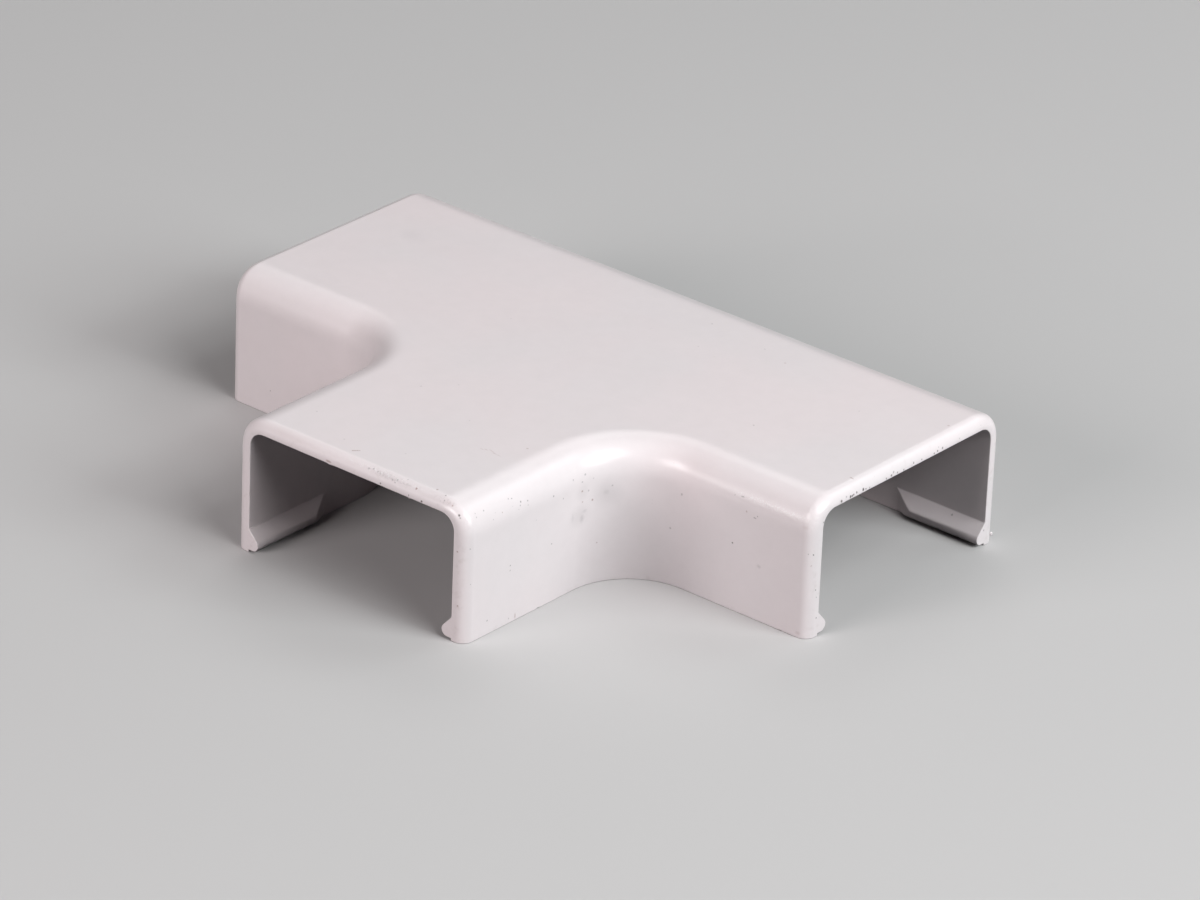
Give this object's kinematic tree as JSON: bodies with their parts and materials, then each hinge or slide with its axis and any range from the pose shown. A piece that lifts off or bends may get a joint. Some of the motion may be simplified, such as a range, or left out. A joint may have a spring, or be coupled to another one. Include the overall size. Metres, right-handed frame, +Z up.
{
  "type": "trunking tee fitting",
  "caption": "Moulded white tee cover for small rectangular cable trunking, open underneath, with rounded shoulders and mouths and snap beads inside its feet.",
  "frame": {"origin": "middle of the plan, on the plane that the feet stand on", "axes": "+X along the straight run, -Y out of the branch mouth, +Z up from the feet to the roof"},
  "size_m": [0.0724, 0.0512, 0.014],
  "materials": {
    "white_pvc": "satin white rigid PVC, as moulded"
  },
  "bodies": {
    "root": {"tee_cover": "white_pvc"}
  },
  "joints": []
}
